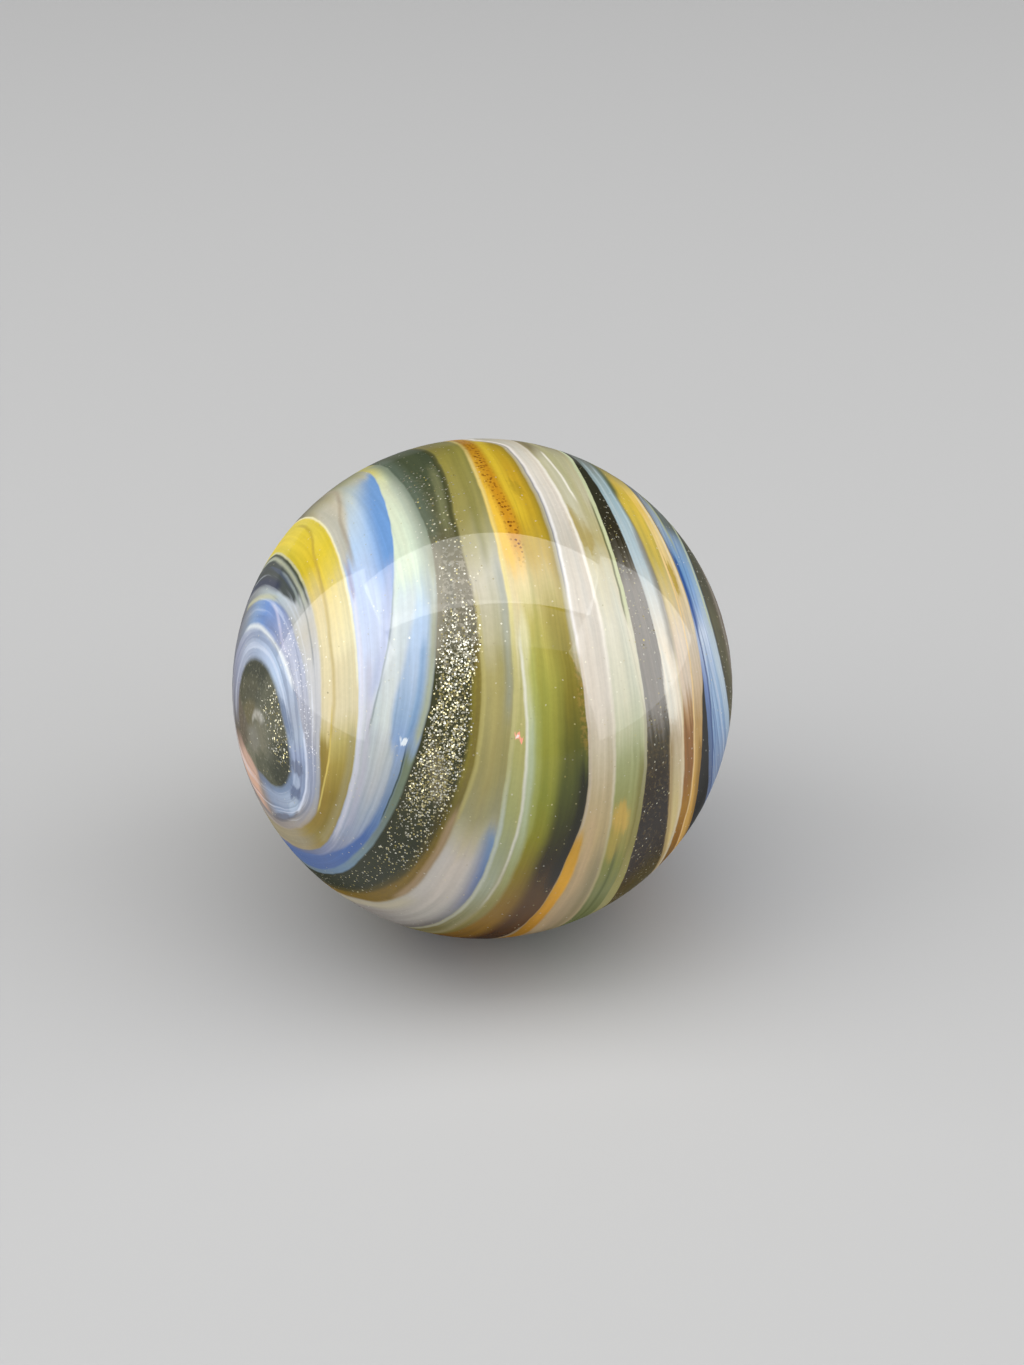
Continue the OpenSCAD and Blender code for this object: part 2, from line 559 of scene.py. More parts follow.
# Ice blue in front and azure over the top, and the mint rod that closes them off
ice_near = seam({-14: 42.6, 0: 44.8, 10: 49.2, 20: 53.8, 30: 58, 40: 61})
ice_patch = past(ice_near, 1.6) * reach(-10, 26)
ice_rod = rods({-16: (130, 156, 200), -4: (140, 168, 200), 8: (168, 188, 212), 28: ice})
lay(ice_rod, ice_patch * 0.9)
lay((112, 148, 184), thread(glitter_near - 2.8, 1, 0.8) * reach(-8, 12, 5) * 0.6)
lay((160, 164, 132), thread(glitter_near - 0.6, 1.8, 1) * reach(-8, 22, 6) * 0.85)
azure_near = seam({30: 52, 40: 52.5, 50: 54.8, 60: 57.8, 70: 61.6, 80: 66, 90: 69})
lay(azure, past(azure_near, 6.4) * reach(34, 74) * 0.92)
mint_near = seam({
    -10: 37.6, 0: 40.4, 10: 44.3, 20: 48.7, 30: 52.5, 40: 56.6, 50: 60, 60: 63.1, 70: 66, 80: 68.4,
    92: 70.2, 112: 70.6, 140: 62, 170: 51, 190: 45})
mint_rod = rods({
    -110: grey_mint, 0: (192, 204, 196), 20: (196, 210, 204), 35: lemon_mint, 60: (206, 212, 184),
    70: (210, 212, 166), 78: (196, 186, 110), 86: (172, 162, 84), 100: lemon, 140: grey_mint})
upper_mint = past(mint_near) * around.rise(18, 34) * around.rise(190, 150)
lay(mint_rod, upper_mint)
left_mint = past(mint_near, 0.8) * (1 - past(ice_near, 2)) * reach(-2, 24)
lay((200, 209, 206), left_mint * 0.8)
lay((162, 172, 202), thread(mint_near - 1.2, 2, 1.4) * reach(8, 36, 6) * 0.7)
lay((138, 148, 126), upper_mint * past(glitter_near - 2, 3) * reach(36, 80) * 0.9)
lay((128, 140, 140), thread(mint_near, 0.3) * reach(-2, 30, 6) * 0.6)
lay((164, 168, 152), thread(glitter_near - 1.6, 3, 1.4) * reach(26, 62) * 0.6)

# A painted highlight, where a bubble catches the light
lay((232, 240, 246), blot(-10.5, 46.2, 1.3, 0.9) * 0.95)


# --- Glitter rod --------------------------------------------
# A thick rod of dark bottle-green glass, rolled in gold and silver flecks while hot. Clear amber
# glass runs along its right side, and over the top the flecks thin out into olive haze.

bottle = (34, 40, 8)
bottle_front = (54, 56, 28)
bottle_grey = (68, 76, 54)
fringe_olive = (136, 124, 40)
fringe_amber = (136, 106, 12)
clay = (172, 146, 112)

# From about 16 to 33 degrees around the rod is grey: a painted reflection.
glitter_rod_with_reflection = rods({
    -110: bottle, -44: bottle, -28: bottle_front, 8: bottle_front, 16: (98, 95, 76), 26: (120, 115, 96),
    33: (100, 95, 68), 46: (84, 84, 58), 58: bottle_grey, 76: bottle_grey, 120: (66, 70, 54),
    160: bottle})
lay(glitter_rod_with_reflection, past(glitter_near, 0.6))

# Haze and shade over the top. From about 8 to 34 degrees around, the grey haze is a painted reflection
lay((106, 104, 80), past(glitter_near, 0.3) * specks.rise(0.5, 0.7) * reach(28, 60) * 0.5)
lay((140, 136, 118), thread(glitter_near + 0.6, 2.2, 1.2) * reach(14, 34) * 0.6)
lay((98, 110, 96), thread(glitter_near + 0.8, 3, 1.6) * reach(44, 80) * 0.6)
lay((168, 162, 146), past(glitter_near + 1, 1) * specks.rise(0.5, 0.62) * reach(8, 30) * 0.5)
lay((116, 118, 82), thread(olive_near - 2.2, 1.6, 1) * reach(44, 58) * 0.8)
lay(bottle_front, thread(olive_near - 0.5, 0.6, 0.5) * reach(44, 78) * 0.7)

# The amber side
fringe_near = seam({
    -110: 41, -90: 41.6, -80: 43.2, -70: 45, -60: 47.4, -50: 49.7, -40: 52, -30: 54.6, -20: 57.4,
    -10: 60.2, 0: 61.9, 10: 66, 20: 68, 200: 49, 230: 42.5})
fringe_rod = rods({
    -110: fringe_amber, -50: fringe_amber, -36: (118, 100, 20), -28: (104, 94, 18), -20: fringe_olive,
    10: fringe_olive, 195: fringe_olive, 225: fringe_amber})
fringe_side = around.rise(16, 6) + around.rise(180, 205)
olive_shade = (76, 66, 6)
lay(olive_shade, past(fringe_near - 1.6, 2) * around.rise(-22, -34) * 0.85)
lay(fringe_rod, past(fringe_near, 1.6) * fringe_side * (0.8 + 0.4 * (specks - 0.5)))
lay((140, 130, 106), blot(-20, 52.6, 9, 2, 0.7) * 0.35)


# --- Olive and stone glass ----------------------------------
# Right of the glitter: clear olive glass in front and over the top, milky stone grey underneath,
# with a blue thread against the cream line.

olive = (166, 156, 98)
olive_green = (140, 133, 72)
stone = (206, 197, 186)
stone_shade = (160, 154, 148)

olive_rod = rods({
    -110: (148, 142, 136), -90: stone_shade, -74: (188, 182, 172), -58: stone, -46: stone,
    -38: (188, 180, 150), -31: (156, 151, 110), -22: (156, 147, 92), -8: olive, 2: olive,
    10: (180, 173, 136), 24: (188, 182, 160), 33: (160, 154, 112), 42: (142, 135, 80), 52: olive_green,
    66: (138, 131, 62), 80: (110, 104, 60), 110: (112, 106, 60), 150: olive, 185: stone,
    225: stone_shade})
lay(olive_rod, past(olive_near, 1))

# Clay, amber and pale threads on its left side
lay((196, 186, 156), thread(olive_near + 1.6, 3, 1.2) * reach(-104, -72) * 0.7)
lay(clay, thread(olive_near - 0.6, 1.4, 0.8) * reach(-66, -34) * 0.8)
lay((120, 106, 48), thread(olive_near - 0.8, 1, 0.7) * reach(-26, 8) * 0.6)
lay((184, 172, 104), thread(olive_near + 0.3, 0.7, 0.5) * reach(-30, 16) * 0.7)
lay((138, 146, 142), thread(cream_line - 1, 1.4, 1) * reach(-4, 20, 10) * 0.5)
lay((76, 76, 46), thread(olive_near - 0.2, 0.7, 0.5) * reach(40, 84) * 0.8)

# The blue thread underneath
stone_foot = (118, 112, 106)
stone_blue = rods({
    -110: stone_foot, -80: stone_foot, -68: (138, 138, 140), -58: (110, 120, 152), -50: (92, 120, 168),
    -38: (110, 144, 184), -30: olive, 230: stone_foot})
blue_foot = around.rise(-32, -40) + around.rise(205, 230)
lay(stone_blue, past(cream_line - 2.2, 4.2) * blue_foot * 0.95)
lay((120, 116, 58), thread(cream_line - 3, 1, 0.8) * reach(30, 80) * 0.5)


# --- Cream, sage and mint threads ---------------------------
# A bundle of thin rods laid side by side: cream, olive, white, sage and mint. Twisting has
# pinched them out over the top of the ball.

sage = (172, 168, 104)
mint = (180, 190, 152)
white_glass = (216, 216, 198)

cream_thread = rods({
    -110: (160, 156, 132), -82: (176, 173, 148), -66: (196, 194, 168), -50: (200, 204, 184),
    -36: (190, 198, 184), -20: (184, 180, 126), 0: (186, 178, 118), 16: (216, 204, 140),
    36: (226, 198, 112), 60: (204, 186, 120), 70: (176, 160, 92), 110: (170, 156, 96),
    180: (190, 184, 150)})
sage_rod = rods({
    -110: (128, 122, 84), -84: (128, 116, 66), -68: (150, 146, 100), -54: (176, 180, 152),
    -42: (164, 168, 128), -30: (166, 168, 108), -15: sage, 0: (178, 173, 116), 10: (198, 191, 150),
    22: (210, 192, 140), 30: (208, 170, 80), 46: (198, 152, 42), 60: (184, 134, 34), 72: (128, 96, 42),
    110: (140, 108, 50), 160: sage})
lay(sage_rod, past(cream_line))
lay(cream_thread, thread(cream_line + 0.4, 0.9, 0.4))
white_thread = seam({
    -110: 63.6, -75: 64.6, -57: 66.8, -44: 68.5, -37: 69.3, -30: 70.2, -23: 70.8, -10: 72.2, -3: 72.8,
    8: 74.4, 20: 77, 200: 70, 230: 66})
mint_rod_low = rods({
    -110: (116, 104, 60), -76: (132, 118, 50), -58: (154, 148, 84), -46: (164, 170, 116), -32: mint,
    -12: mint, 2: (192, 192, 140), 12: (210, 204, 158)})
front_side = around.rise(26, 10) + around.rise(180, 215)
lay(mint_rod_low, past(white_thread, 0.6) * front_side)
lay(white_glass, thread(white_thread, 0.5, 0.35) * reach(-56, 4, 10) * 0.95)
lay((168, 160, 120), thread(white_thread, 0.9, 0.7) * reach(-104, -50, 12) * 0.5)


# --- Leaf to umber rod --------------------------------------
# Yellow-green glass that darkens to the right and turns brown underneath. Over the top lies clear
# amber with brown grains in it.

leaf = (150, 150, 56)
umber = (136, 104, 6)
pitch = (20, 18, 4)
honey = (190, 156, 42)

leaf_near = seam({
    -110: 64.5, -85: 65.6, -70: 67.5, -60: 69, -50: 70, -40: 71.3, -30: 72, -20: 73, -10: 74, 0: 74.5,
    12: 77, 200: 73, 230: 67})
leaf_rod = rods({
    -110: (110, 74, 6), -86: (118, 82, 6), -70: (138, 102, 6), -58: umber, -48: (138, 118, 12),
    -38: (142, 138, 24), -28: (140, 144, 46), -18: leaf, -4: (160, 158, 66), 6: (172, 164, 74),
    16: (182, 170, 92), 205: leaf, 232: umber})
lay(leaf_rod, past(leaf_near, 1.6) * front_side)
lay((170, 176, 104), thread(leaf_near + 0.6, 1.2, 0.8) * reach(-32, 2) * 0.5)

# Its dark right side
dark_near = seam({
    -110: 70.5, -80: 72, -60: 73.5, -45: 74.5, -35: 76.5, -25: 77.5, -10: 79.5, 4: 81, 200: 80,
    230: 74})
dark_rod = rods({
    -110: (56, 26, 0), -84: (66, 36, 0), -66: (92, 56, 0), -56: (84, 54, 0), -46: (40, 28, 0),
    -34: (56, 58, 10), -24: (76, 82, 26), -14: (96, 96, 30), -4: (122, 112, 32), 6: (140, 128, 48),
    16: (160, 144, 62), 205: (62, 68, 30), 230: (44, 20, 4), 250: (44, 20, 4)})
lay(dark_rod, past(dark_near, 4.2) * front_side)
lay(pitch, past(milk_near - 2.2, 2.4) * reach(-48, -26) * 0.85)
lay((166, 132, 62), past(milk_near - 1.6, 1) * reach(-15, 4, 5) * specks.rise(0.4, 0.62) * 0.45)

# The amber over the top, with the line that its brown grains lie along
amber_zone = around.rise(14, 30) * around.rise(165, 135)
amber_far = seam({10: 80, 20: 80.5, 35: 83.5, 45: 85, 60: 88, 68: 89.6, 85: 92, 120: 90, 150: 84})
honey_rod = rods({
    -110: honey, 20: (172, 150, 66), 36: (184, 152, 40), 52: (186, 150, 38), 62: (180, 150, 38),
    72: (142, 124, 56), 110: (136, 118, 56), 150: (140, 124, 60)})
lay(honey_rod, past(amber_far, 1.2) * amber_zone)
lay((142, 122, 36), past(milk_near - 2.4, 2.8) * reach(22, 70, 10) * 0.85)
lay((226, 184, 62), thread(cream_line + 1.9, 2, 0.9) * reach(30, 60) * 0.85)
rusty_line = seam({26: 81.2, 31: 81.9, 36: 82.7, 42: 83.5, 52: 85.2, 60: 87, 69: 89.6, 76: 91.5})
lay((210, 182, 52), thread(rusty_line + 2.6, 2.6, 1.2) * reach(40, 80) * 0.6)
lay((176, 124, 22), thread(rusty_line, 3, 1) * reach(36, 78, 10) * 0.8)
lay((146, 124, 32), blot(46, 88.6, 3, 1.2, 0.8) * 0.45)


# --- Milk band ----------------------------------------------
# A flat ribbon of opaque white glass with a dark thread and a bright one on its left side. It is
# tinged tan underneath, where an orange stripe runs beside it.

milk = (205, 197, 184)
milk_rod = rods({
    -110: (128, 112, 80), -86: (158, 138, 106), -70: (170, 150, 118), -58: (172, 154, 118),
    -48: (180, 159, 116), -38: (192, 170, 122), -28: (187, 170, 132), -18: (194, 184, 158),
    -8: (206, 198, 184), 10: milk, 26: (193, 185, 170), 38: milk, 50: (210, 202, 188),
    60: (202, 196, 182), 72: (178, 171, 153), 100: (168, 160, 140), 150: (184, 170, 140),
    210: (160, 142, 108)})
lay((184, 180, 162), past(milk_near - 1.2, 0.9) * reach(8, 110, 12) * 0.75)
lay((112, 114, 126), thread(milk_near - 0.3, 0.3, 0.25) * reach(22, 74) * 0.85)
lay(milk_rod, past(milk_near, 0.35))

# The orange stripe underneath, melted in where the leaf rod ends and the milk begins
stripe_near = seam({
    -110: 78.6, -80: 79.3, -70: 79, -60: 79.8, -50: 80.8, -40: 82.3, -34: 84.4}, closed=False)
stripe_rod = rods({
    -110: (150, 100, 20), -78: (170, 120, 20), -62: (212, 150, 2), -50: (226, 166, 16),
    -40: (204, 154, 40), 225: (150, 100, 20)})
stripe_far = seam({
    -110: 82.6, -80: 83, -70: 82.4, -60: 82.9, -50: 84, -38: 84.4, -30: 84.4}, closed=False)
stripe = past(stripe_near) * (1 - past(stripe_far, 1)) * around.rise(-33, -40)
lay(stripe_rod, stripe)
lay((204, 176, 136), thread(stripe_far + 1.6, 2.2, 1.2) * reach(-74, -36) * 0.6)

# The tan thread underneath, and the pale ones in front and over the top
tan_line = 89.2
lay((132, 124, 86), thread(tan_line, 1.8, 1.2) * reach(-95, -52, 10) * 0.6)
lay((196, 182, 160), thread(milk_near + 0.35, 0.5, 0.4) * reach(-34, 6) * 0.7)
lay((228, 224, 220), thread(milk_near + 0.2, 0.7, 0.4) * reach(8, 100) * 0.9)


# --- Green and beige glass ----------------------------------
# Clear pale green glass underneath, with a spot of amber in it, and beige glass over the top
# with a short white thread.

pale_green = (176, 178, 138)
deep_green = (134, 138, 86)
beige_green = (174, 170, 134)

# From about -16 to 20 degrees around it is near white: partly its pale glass and partly a painted
# reflection.
green_rod_with_reflection = rods({
    -110: (90, 98, 52), -74: (112, 118, 68), -60: deep_green, -50: (134, 136, 62), -40: (156, 146, 72),
    -30: (150, 152, 92), -22: (158, 162, 114), -16: (188, 189, 154), -8: (203, 201, 176),
    8: (208, 205, 186), 20: (200, 195, 168), 28: (174, 163, 114), 40: (184, 179, 150), 58: beige_green,
    70: (132, 124, 90), 110: (126, 118, 78), 170: pale_green, 215: deep_green, 250: (84, 90, 48)})
lay(green_rod_with_reflection, past(milk_far))

# The spot of amber, with darker and olive glass round it
fern_line = 93.9
lay((204, 168, 78), blot(-36, 93.4, 4, 2.3, 0.8) * 0.9)
lay((184, 160, 68), blot(-43, 92.6, 5, 1.6, 0.8) * 0.7)
lay((82, 94, 44), thread(fern_line, 0.7, 0.6) * reach(-100, -50, 10) * 0.7)
lay((118, 110, 48), past(peat_near - 2.2, 1.6) * reach(-58, -26) * 0.7)
lay((166, 150, 92), blot(31, 97.3, 6, 1.9, 0.4) * 0.85)

# The milk band's bright edge, and the short white thread
bright_milk = rods({
    -110: (160, 146, 110), -70: (176, 160, 124), -48: (182, 170, 120), -30: (200, 188, 156),
    0: (222, 216, 202), 20: (236, 230, 218), 60: (226, 222, 210), 74: (196, 190, 176),
    150: (200, 190, 164)})
lay(bright_milk, thread(milk_far, 0.6, 0.4) * 0.95)
beige_thread = seam({30: 99.8, 42: 100.6, 47: 101.3, 52: 102, 58: 103, 66: 105})
lay((112, 102, 70), thread(milk_far + 1.8, 2.4, 1.4) * reach(62, 86, 6) * (0.3 + specks))
lay((194, 191, 166), thread(beige_thread - 1.2, 2.2, 1) * reach(36, 60) * 0.6)
lay((168, 164, 120), thread(beige_thread + 1.4, 1.6, 1) * reach(36, 70) * 0.7)
lay((234, 230, 214), thread(beige_thread, 0.5) * reach(42, 59, 4))

# Pale and dark lines against the peat band
lay((192, 200, 160), past(peat_near - 1) * reach(14, 120) * 0.9)
lay((72, 84, 48), thread(peat_near - 1.2, 0.4) * reach(14, 36, 6) * 0.8)
cream_low = rods({
    -110: (134, 126, 80), -84: (150, 142, 92), -70: (168, 162, 110), -60: (166, 160, 98),
    -52: (156, 148, 82), -44: (140, 132, 66), -36: (140, 134, 72), -26: (150, 146, 108),
    -16: (178, 174, 148), -6: (206, 203, 184)})
cream_left = seam({
    -110: 102, -90: 99.6, -70: 97.4, -60: 96.9, -50: 96.9, -42: 97.2, -35: 97.8, -28: 98.4, -20: 99.1,
    -8: 99.6, 0: 100, 215: 110})
lay(cream_low, past(cream_left) * (around.rise(6, -8) + around.rise(205, 225)))


# --- Peat band ----------------------------------------------
# A wide rod of brown-black glass with a few gold flecks, nearly opaque, that pinches out at the
# top right.

# Light grey in front, from about -12 to 16 degrees around: a painted reflection on the dark glass.
peat_reflection_grey = (138, 134, 128)
peat_rod_with_reflection = rods({
    -110: (84, 74, 34), -74: (90, 80, 40), -62: (78, 64, 8), -52: (36, 20, 0), -38: (24, 12, 0),
    -28: (38, 26, 4), -19: (64, 58, 40), -12: peat_reflection_grey, 16: peat_reflection_grey, 23: (84, 80, 68), 29: (46, 42, 28),
    60: (44, 46, 34), 120: (52, 48, 34), 190: (50, 42, 20)})
lay(peat_rod_with_reflection, past(peat_near, 0.35))
lay((92, 76, 44), past(peat_near, 0.35) * specks.rise(0.5, 0.7) * reach(-100, -16) * 0.6)


# --- Cream, ice and rust rods -------------------------------
# Cream glass underneath that turns ice blue over the top, then rust and orange rods that turn
# cream in front and yellow over the top.

ice_blue = (158, 178, 188)
rust = (138, 94, 46)
orange = (208, 160, 74)
lemon_yellow = (198, 178, 76)

cream_rod = rods({
    -110: (150, 124, 76), -78: (170, 144, 96), -62: (214, 188, 136), -50: (220, 196, 130),
    -38: (204, 184, 128), -28: (190, 174, 136), -20: (184, 168, 140), -12: (222, 213, 195),
    0: (232, 221, 200), 10: (208, 208, 200), 22: (176, 192, 198), 40: (152, 174, 180),
    50: (140, 158, 160), 58: (112, 122, 118), 68: (88, 92, 84), 90: (92, 96, 88), 140: ice_blue,
    190: (190, 180, 150), 225: (180, 154, 100)})
lay(cream_rod, past(peat_far))
lay((150, 122, 70), thread(peat_far + 0.5, 1, 0.8) * reach(-104, -24, 6) * 0.7)
lay((206, 190, 160), past(rust_near - 1, 0.8) * reach(-104, -24, 6) * 0.5)
lay((232, 227, 212), blot(-9, 108, 8, 1.8) * 0.8)
lay((184, 198, 202), thread(peat_far + 1.2, 0.5, 0.4) * reach(22, 54) * 0.5)
lay((186, 202, 206), thread(peat_far + 3.4, 0.5, 0.4) * reach(20, 54) * 0.5)

rust_rod = rods({
    -110: (104, 66, 10), -64: (124, 84, 6), -50: (146, 98, 6), -40: (158, 112, 16), -32: (136, 90, 32),
    -20: rust, -15: (168, 132, 88), -9: (204, 188, 168), 2: (212, 196, 174), 12: (208, 190, 140),
    22: (190, 170, 84), 40: (204, 178, 70), 50: (190, 164, 68), 58: (142, 130, 66), 68: (84, 86, 64),
    100: (104, 104, 70), 160: orange, 210: rust})
lay(rust_rod, past(rust_near, 0.4))
orange_near = seam({
    -110: 126, -90: 123, -65: 119.2, -50: 116.6, -40: 116.1, -20: 115.4, 0: 116.6, 18: 117.6, 40: 119,
    220: 131})
orange_rod = rods({
    -110: (156, 106, 50), -76: (180, 132, 58), -62: (198, 152, 74), -50: (206, 160, 78),
    -36: (204, 158, 70), -20: (176, 142, 86), -10: (196, 174, 144), 2: (200, 188, 168),
    18: (214, 188, 132), 30: (222, 196, 134), 40: (220, 186, 96), 46: (216, 186, 88),
    52: (182, 164, 90), 58: (150, 136, 78), 66: (104, 100, 72), 76: lemon_yellow, 220: orange})
lay(orange_rod, past(orange_near, 0.6) * (around.rise(64, 44) + around.rise(190, 215)))

# Fine lines along their sides
lay((232, 200, 140), thread(orange_near, 0.45, 0.35) * reach(-104, 22) * 0.8)
lay((216, 202, 168), thread(rust_near, 0.5, 0.35) * reach(-104, 4, 6) * 0.85)
lay((112, 112, 78), thread(rust_near, 0.8, 0.6) * reach(16, 60, 6) * 0.6)
lay((72, 86, 60), thread(rust_near + 0.2, 1.6, 1) * reach(46, 76, 6) * 0.8)
lay((132, 126, 116), thread(rust_near - 0.5, 1.7, 1) * reach(2, 26) * 0.75)
lay((118, 84, 16), past(ink_near - 1.6, 2) * reach(-60, -28, 6) * 0.7)
lay((168, 142, 44), blot(18, 119, 5, 0.9, 0.6) * 0.8)
lay((222, 206, 172), thread(ink_near - 0.8, 0.8, 0.6) * reach(6, 42) * 0.8)


# --- Ink, lavender, navy and blue rods ----------------------
# A wedge of black-green glass underneath, then lavender, a navy thread, clear blue and a pale
# blue-grey rod, the last ones before the right twist end.

ink = (14, 12, 4)
lavender = (112, 134, 182)
navy = (52, 76, 124)
clear_blue = (134, 162, 196)
pale_blue = (180, 195, 205)

lay(ink, past(ink_near))
lavender_rod = rods({
    -110: (76, 88, 116), -40: (92, 106, 136), -24: (88, 112, 150), -12: lavender, 0: (166, 182, 210),
    10: (126, 152, 200), 30: (140, 150, 162), 60: (84, 86, 82), 160: lavender})
lay(lavender_rod, past(ink_far))
blue_rod = rods({
    -110: (112, 128, 158), -50: (118, 134, 162), -38: (130, 146, 172), -25: clear_blue,
    -12: (150, 176, 204), -5: (172, 190, 214), 2: (196, 208, 224), 10: (134, 164, 202),
    20: (106, 148, 192), 34: (132, 152, 172), 44: (136, 148, 156), 54: (84, 86, 84), 100: (90, 98, 104),
    160: clear_blue})
lay(blue_rod, past(navy_line))

# Navy and deep blue lines, then blue and white hairlines all through the blue
lay(navy, thread(navy_line, 0.7, 0.4) * reach(-100, 26) * 0.9)
lay((40, 76, 142), thread(navy_line + 0.5, 1.2, 0.6) * reach(6, 22, 4) * 0.85)
lay((84, 116, 168), thread(navy_line + 1.4, 0.5, 0.4) * reach(-60, -10) * 0.6)
lay((74, 108, 160), fine_streaks.rise(0.5, 0.36) * past(navy_line) * 0.4)
lay((206, 220, 236), fine_streaks.rise(0.58, 0.72) * past(navy_line) * 0.35)

# The last rod lies round the right cap, which ends so many degrees from its twist end
tail_width = 27
pale_near = from_right.rise(tail_width + 4.4, tail_width + 3.2)
pale_rod = rods({
    -110: (118, 132, 158), -45: (132, 148, 172), -28: (156, 176, 196), -8: pale_blue,
    6: (168, 184, 196), 14: (142, 170, 194), 26: (118, 144, 168), 44: (84, 92, 84), 60: (68, 70, 64),
    120: (112, 124, 130), 180: pale_blue})
lay(pale_rod, pale_near * 0.9)
lay((70, 74, 52), past(navy_line + 3, 1) * reach(38, 80) * 0.8)
lay((166, 172, 112), thread(navy_line + 2.9, 0.7, 0.5) * reach(32, 60) * 0.7)


# --- Right twist end ----------------------------------------
# The other end of the twist, which lies off the axis. It is a cap of smoky olive-brown glass with
# a few flecks, wound into rings.

smoke = (88, 84, 58)
smoke_green = (62, 62, 38)
smoke_red = (108, 94, 82)

tail = from_right.rise(tail_width + 0.6, tail_width - 0.8)
tail_rod = rods({
    -110: smoke_red, -20: smoke, 5: smoke, 20: smoke_green, 45: smoke_green, 90: (92, 88, 60),
    180: smoke})
tail_glass = pour(tail_rod, smoke_red, from_right.rise(22, 15))
tail_glass = pour(tail_glass, (66, 62, 44), blotches.rise(0.45, 0.7) * 0.6)


def ring(middle, width, soft):
    """1 on a ring round the right twist end and 0 beside it."""
    drawn = from_right + (fine_streaks - 0.5) * 2
    return abs(drawn - middle).rise(width / 2 + soft, max(width / 2 - soft, 0))


# Rings in the cap, then the lines round its rim
tail_glass = pour(tail_glass, (140, 136, 120), ring(16.5, 2.2, 1.6) * (0.2 + 0.6 * specks))
tail_glass = pour(tail_glass, (58, 54, 36), ring(11, 3, 2) * 0.5)
tail_glass = pour(tail_glass, (150, 142, 122), ring(4, 3, 2) * (0.3 + 0.6 * specks))
lay(tail_glass, tail)
lay((184, 190, 150), ring(tail_width + 0.9, 0.9, 0.5) * reach(8, 40) * 0.8)
lay((44, 46, 32), ring(tail_width - 0.4, 0.8, 0.8) * 0.6)
lay((196, 204, 214), ring(tail_width + 6.2, 0.6, 0.5) * 0.5 * low_side)


# --- Fine streaks, flecks and grains ------------------------
# Twisting draws every glass into fine streaks. The glitter rod, the cap and the peat band carry
# metal flecks about 0.1 mm across, and the amber holds brown grains.

# Each streak is a little lighter or darker and warmer or cooler than its glass
tone = (0.78 + 0.44 * fine_streaks) * (0.9 + 0.2 * broad_streaks) * (0.93 + 0.14 * specks)
warmth = (broad_streaks - 0.5) * 0.16
streak_tint = Wire.node("ShaderNodeCombineColor", {}, {0: tone + warmth, 1: tone, 2: tone - warmth})
skin = Wire.node("ShaderNodeMix", {"data_type": "RGBA", "blend_type": "MULTIPLY"},
                 {0: 1, 6: skin, 7: streak_tint}, 2)

# One fleck may lie in each small cell, and three chances from 0 to 1 settle what it is like
flecks_per_metre = 11500
fleck_cells = {"Vector": place, "Scale": flecks_per_metre}
fleck_far = Wire.node("ShaderNodeTexVoronoi", {}, fleck_cells, "Distance")
fleck_chances = Wire.node("ShaderNodeTexVoronoi", {}, fleck_cells, "Color")
there, bright, golden = (
    Wire.node("ShaderNodeSeparateColor", {}, {0: fleck_chances}, chance) for chance in range(3))

# What share of the cells holds a fleck
in_glitter = past(glitter_near + 1, 2.2) * (1 - past(fringe_near - 0.2, 2.6)) * front_side
thick_middle = (reach(-22, 30, 20) * 0.58 + reach(-48, 60, 12) * 0.13 + 0.07) * (0.5 + specks)
in_cap = (1 - past(cap_rim - 0.4, 0.8)) * across.rise(6, 11) * reach(-22, 28, 20) * 0.3
in_upper = past(glitter_near, 1) * (1 - past(olive_near + 2, 5)) * reach(26, 62) * 0.09
in_peat = past(peat_near) * (1 - past(peat_far)) * (0.02 + 0.05 * reach(2, 36))
in_lilac = (past(sky_far) * (1 - past(lilac_far + 1, 2)) * reach(-15, 46, 16)
            * (0.04 + 0.26 * specks.rise(0.4, 0.66)))
in_tail = tail * 0.02
stray = 0.0008
packed = in_glitter * thick_middle + in_cap + in_upper + in_peat + in_lilac + in_tail + stray
chosen = (there - (1 - packed)).rise(-0.02, 0.02)
fleck = chosen * fleck_far.rise(0.6, 0.48)

dull_fleck = (138, 126, 66)
white_fleck = (250, 248, 232)
gold_fleck = (222, 204, 116)
silver_fleck = (226, 228, 236)
fleck_metal = pour(dull_fleck, white_fleck, bright.rise(0.05, 0.85))
fleck_metal = pour(fleck_metal, gold_fleck, golden.rise(0.5, 0.8) * (0.6 - 0.4 * reach(10, 70)))
fleck_metal = pour(fleck_metal, silver_fleck, in_lilac.rise(0, 0.05))
lay(fleck_metal, fleck)

# The grains lie thickest where the specks of the glass are
grains_per_metre = 5600
grain_cells = {"Vector": place, "Scale": grains_per_metre}
grain_far = Wire.node("ShaderNodeTexVoronoi", {}, grain_cells, "Distance")
grain_zone = thread(rusty_line - 0.2, 2.2, 1) * reach(33, 74)
grain = grain_far.rise(0.46, 0.32) * grain_zone * (0.3 + 0.7 * specks.rise(0.4, 0.56))
brown_grain = (92, 44, 8)
lay(brown_grain, grain * 0.95)

# A pink bubble, white in its middle, beside the white thread
pink_bubble = (255, 172, 142)
bubble_middle = (250, 236, 226)
lay(pink_bubble, blot(-11.5, 70.3, 0.8, 0.9, 0.4))
lay(bubble_middle, blot(-11.6, 70, 0.4, 0.4))

# Every fleck leans its own way, so that each one flashes in its own direction
most_lean = 1.1
surface = Wire.node("ShaderNodeNewGeometry", {}, {}, "Normal")
centred = vector_sum("SUBTRACT", fleck_chances, (0.5, 0.5, 0.5))
lean = {0: centred, 3: fleck * most_lean}
leaning = Wire.node("ShaderNodeVectorMath", {"operation": "SCALE"}, lean)
tilted = vector_sum("ADD", surface, leaning)
facing = Wire.node("ShaderNodeVectorMath", {"operation": "NORMALIZE"}, {0: tilted})

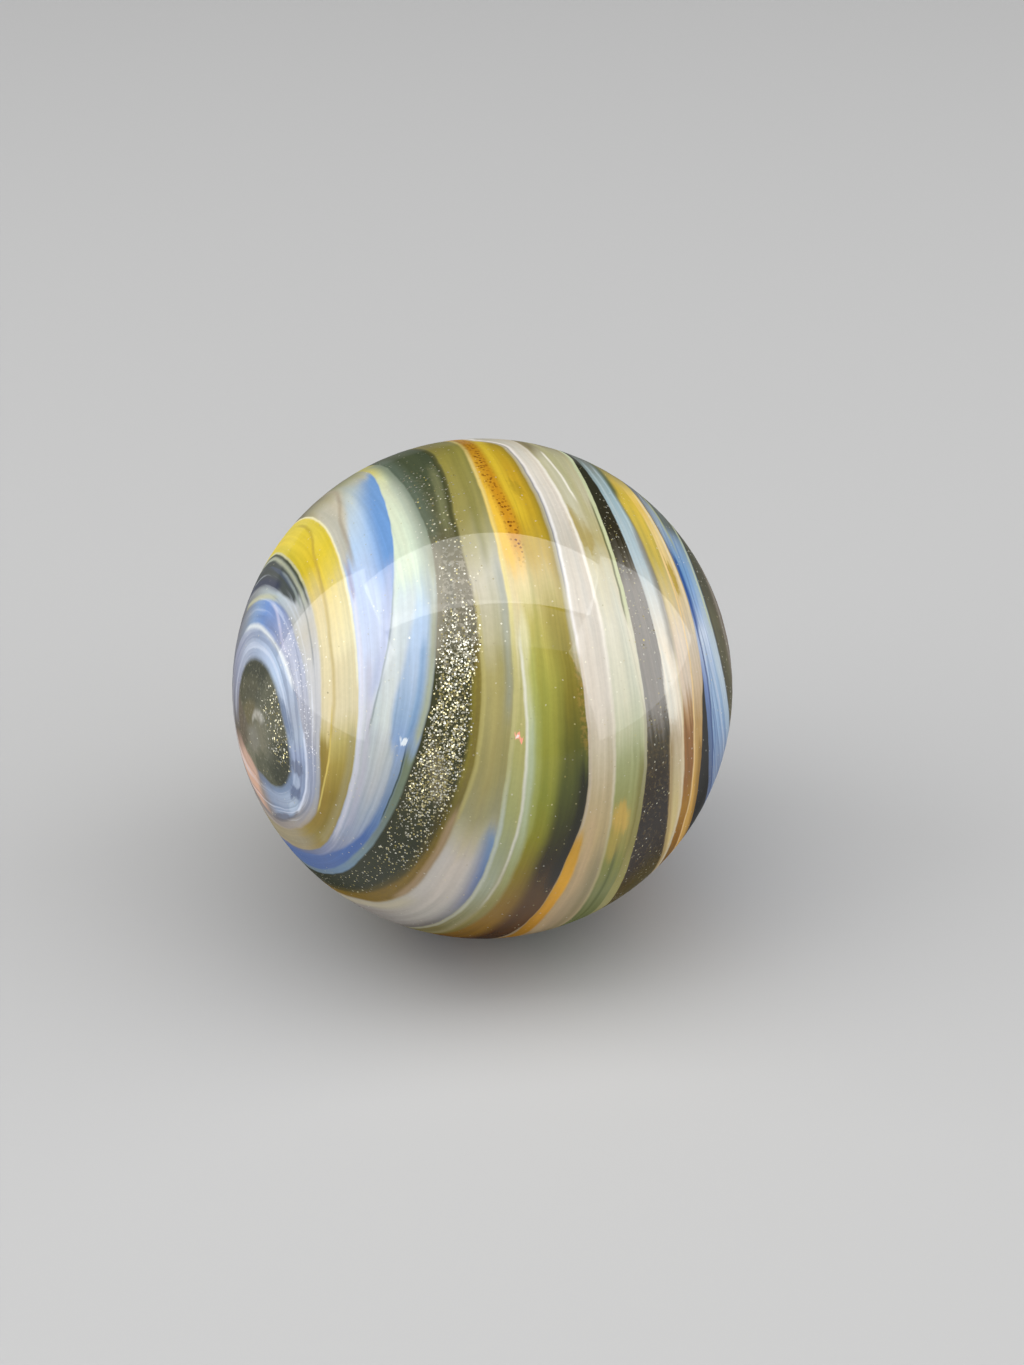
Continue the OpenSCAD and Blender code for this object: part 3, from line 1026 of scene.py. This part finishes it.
# The clear skin is a smooth coat over the coloured glass, weaker towards the ball's outline
edge_on = Wire.node("ShaderNodeLayerWeight", {}, {}, "Facing")
body = Wire.node("ShaderNodeBsdfPrincipled", {}, {
    "Base Color": skin,
    "Metallic": fleck * (0.7 - 0.6 * in_lilac.rise(0, 0.05)),
    "Roughness": 0.36 - 0.1 * fleck,
    "Normal": facing,
    "IOR": 1.5,
    "Specular IOR Level": 0,
    "Coat Weight": 1 - 0.8 * edge_on.rise(0.4, 0.85),
    "Coat Roughness": 0.015,
    "Coat IOR": 1.55,
})
shown = melt.node_tree.nodes.new("ShaderNodeOutputMaterial")
melt.node_tree.links.new(body.socket, shown.inputs["Surface"])

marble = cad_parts["marble"]
for held in marble.material_slots:
    held.material = melt


# --- Table and lamps ----------------------------------------
# A plain pale table top under the ball, in the light of five soft panels. A wide one hangs above,
# set askew, one stands on either side, and two dim ones lean in front.

table_radius = 0.8
table_grey = 0.5
room_glow = 0.05

table_mesh = bpy.data.meshes.new("table_top")
disc = bmesh.new()
bmesh.ops.create_circle(disc, cap_ends=True, segments=64, radius=table_radius)
bmesh.ops.translate(disc, verts=disc.verts, vec=(0, 0, low_corner.z))
disc.to_mesh(table_mesh)
disc.free()
table_finish = bpy.data.materials.new("pale_table")
table_finish.use_nodes = True
table_body = table_finish.node_tree.nodes["Principled BSDF"]
table_body.inputs["Base Color"].default_value = (table_grey, table_grey, table_grey, 1)
table_body.inputs["Roughness"].default_value = 0.8
table_body.inputs["Specular IOR Level"].default_value = 0.1
table_mesh.materials.append(table_finish)
table_top = bpy.data.objects.new("table_top", table_mesh)
bpy.context.scene.collection.objects.link(table_top)

room = bpy.data.worlds.new("room")
room.use_nodes = True
room.node_tree.nodes["Background"].inputs["Color"].default_value = (1, 1, 1, 1)
room.node_tree.nodes["Background"].inputs["Strength"].default_value = room_glow
bpy.context.scene.world = room


def soft_panel(name, middle, facing, width, height, brightness, turn=0):
    """A rectangular lamp that looks so many times brighter than white, turned in its own plane."""
    lamp = bpy.data.lights.new(name, "AREA")
    lamp.shape = "RECTANGLE"
    lamp.size = width
    lamp.size_y = height
    lamp.energy = brightness * width * height * math.pi
    panel = bpy.data.objects.new(name, lamp)
    panel.location = middle
    panel.rotation_mode = "QUATERNION"
    turned_panel = Quaternion((0, 0, 1), math.radians(turn))
    panel.rotation_quaternion = Vector(facing).to_track_quat("-Z", "Y") @ turned_panel
    bpy.context.scene.collection.objects.link(panel)


soft_panel("panel_above", (0, -0.03, 0.5), (0, 0, -1), 1.03, 0.32, 2.75, turn=6)
soft_panel("panel_left", (-0.5, -0.115, 0.244), (1, 0, 0), 0.57, 0.513, 2.2)
soft_panel("panel_right", (0.5, -0.08, 0.244), (-1, 0, 0), 0.66, 0.513, 1.7)
soft_panel("panel_front_high", (0, -0.24, 0.44), (0, 0.652, -0.761), 1, 0.184, 1)
soft_panel("panel_front_low", (0, -0.408, 0.184), (0, 0.5, -0.25), 1, 0.439, 0.38)

bpy.context.scene.view_settings.view_transform = "Standard"
